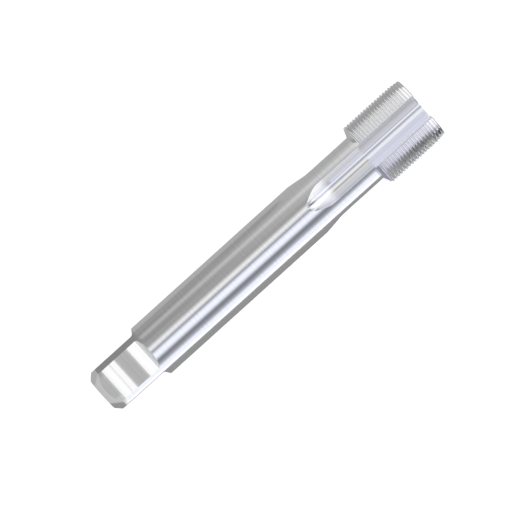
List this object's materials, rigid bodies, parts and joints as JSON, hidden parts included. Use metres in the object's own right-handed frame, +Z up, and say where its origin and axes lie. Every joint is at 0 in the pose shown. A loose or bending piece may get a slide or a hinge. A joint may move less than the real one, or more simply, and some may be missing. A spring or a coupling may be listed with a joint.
{
  "type": "thread tap",
  "caption": "Long-shank hand and machine tap: straight flutes, fine metric thread, round shank as wide as its neck, and a driving square.",
  "frame": {"origin": "on the surface it lies on, under the middle of its box; lowest points are two lands behind the thread and the shank behind the square", "axes": "+X from the square end to the cutting end, with the tap's own axis raised 1.32 degrees towards +X as it rests; +Z up, with one flute and one flat of the square facing straight up"},
  "size_m": [0.1784, 0.0306, 0.0311],
  "materials": {
    "ground_tool_steel": "bright ground high speed steel, uncoated, with fine grinding lines"
  },
  "bodies": {
    "root": {"thread_tap": "ground_tool_steel"}
  },
  "joints": []
}
